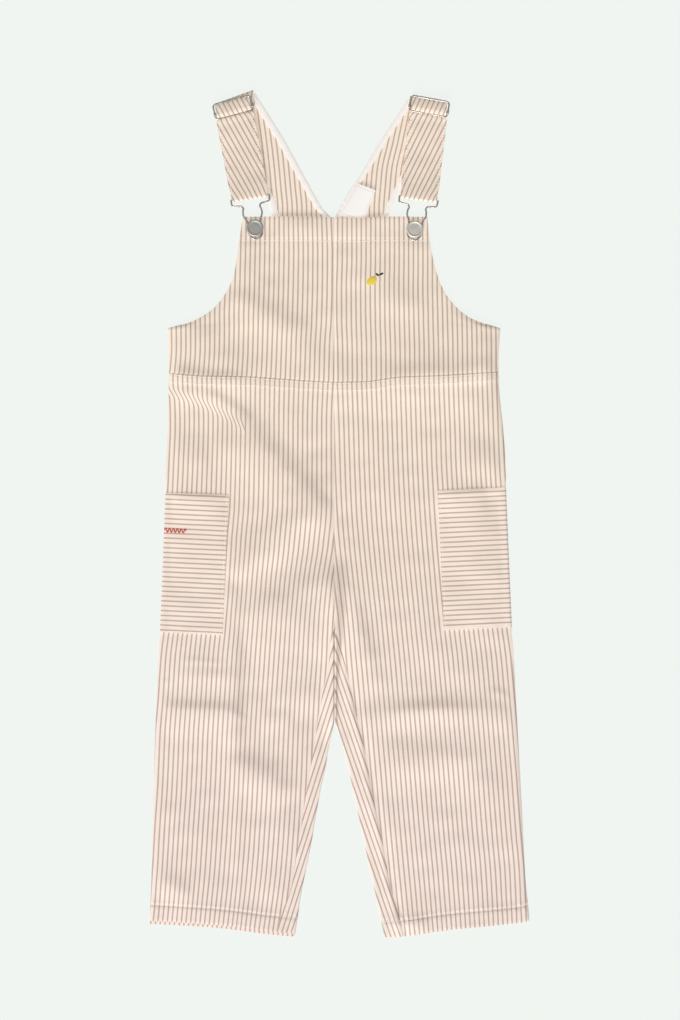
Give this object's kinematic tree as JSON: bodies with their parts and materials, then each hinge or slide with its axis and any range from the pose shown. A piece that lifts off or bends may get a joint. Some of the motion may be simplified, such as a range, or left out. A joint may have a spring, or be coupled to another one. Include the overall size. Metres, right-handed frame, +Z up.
{
  "type": "dungarees",
  "caption": "Child's bib dungarees in striped cotton twill laid flat, with patch side pockets and straps that end in wire sliders, wire hooks and metal buttons.",
  "frame": {"origin": "middle of the garment's bounding box, on the surface it lies on", "axes": "+Y from the leg hems towards the shoulder straps, +Z up out of the garment's front, +X to the right as it lies"},
  "size_m": [0.3792, 0.8465, 0.0089],
  "materials": {
    "striped_twill": "cream cotton twill with thin tan stripes, matt",
    "white_tape": "white cotton twill facing tape, matt",
    "label_satin": "blank white woven satin label, slight sheen",
    "plated_wire": "nickel plated steel wire, satin to bright",
    "button_metal": "pewter grey pressed metal, satin"
  },
  "bodies": {
    "root": {"bib_left": "striped_twill", "bib_right": "striped_twill", "back_left": "striped_twill", "back_right": "striped_twill", "leg_front_left": "striped_twill", "leg_front_right": "striped_twill", "leg_back_left": "striped_twill", "leg_back_right": "striped_twill", "pocket_left": "striped_twill", "pocket_right": "striped_twill", "strap_front_left": "striped_twill", "strap_front_right": "striped_twill", "neck_tape_left": "white_tape", "neck_tape_right": "white_tape", "arm_tape_left": "white_tape", "arm_tape_right": "white_tape", "neck_label": "label_satin", "slider_left": "plated_wire", "slider_right": "plated_wire", "hook_left": "plated_wire", "hook_right": "plated_wire", "button_left": "button_metal", "button_right": "button_metal"}
  },
  "joints": []
}
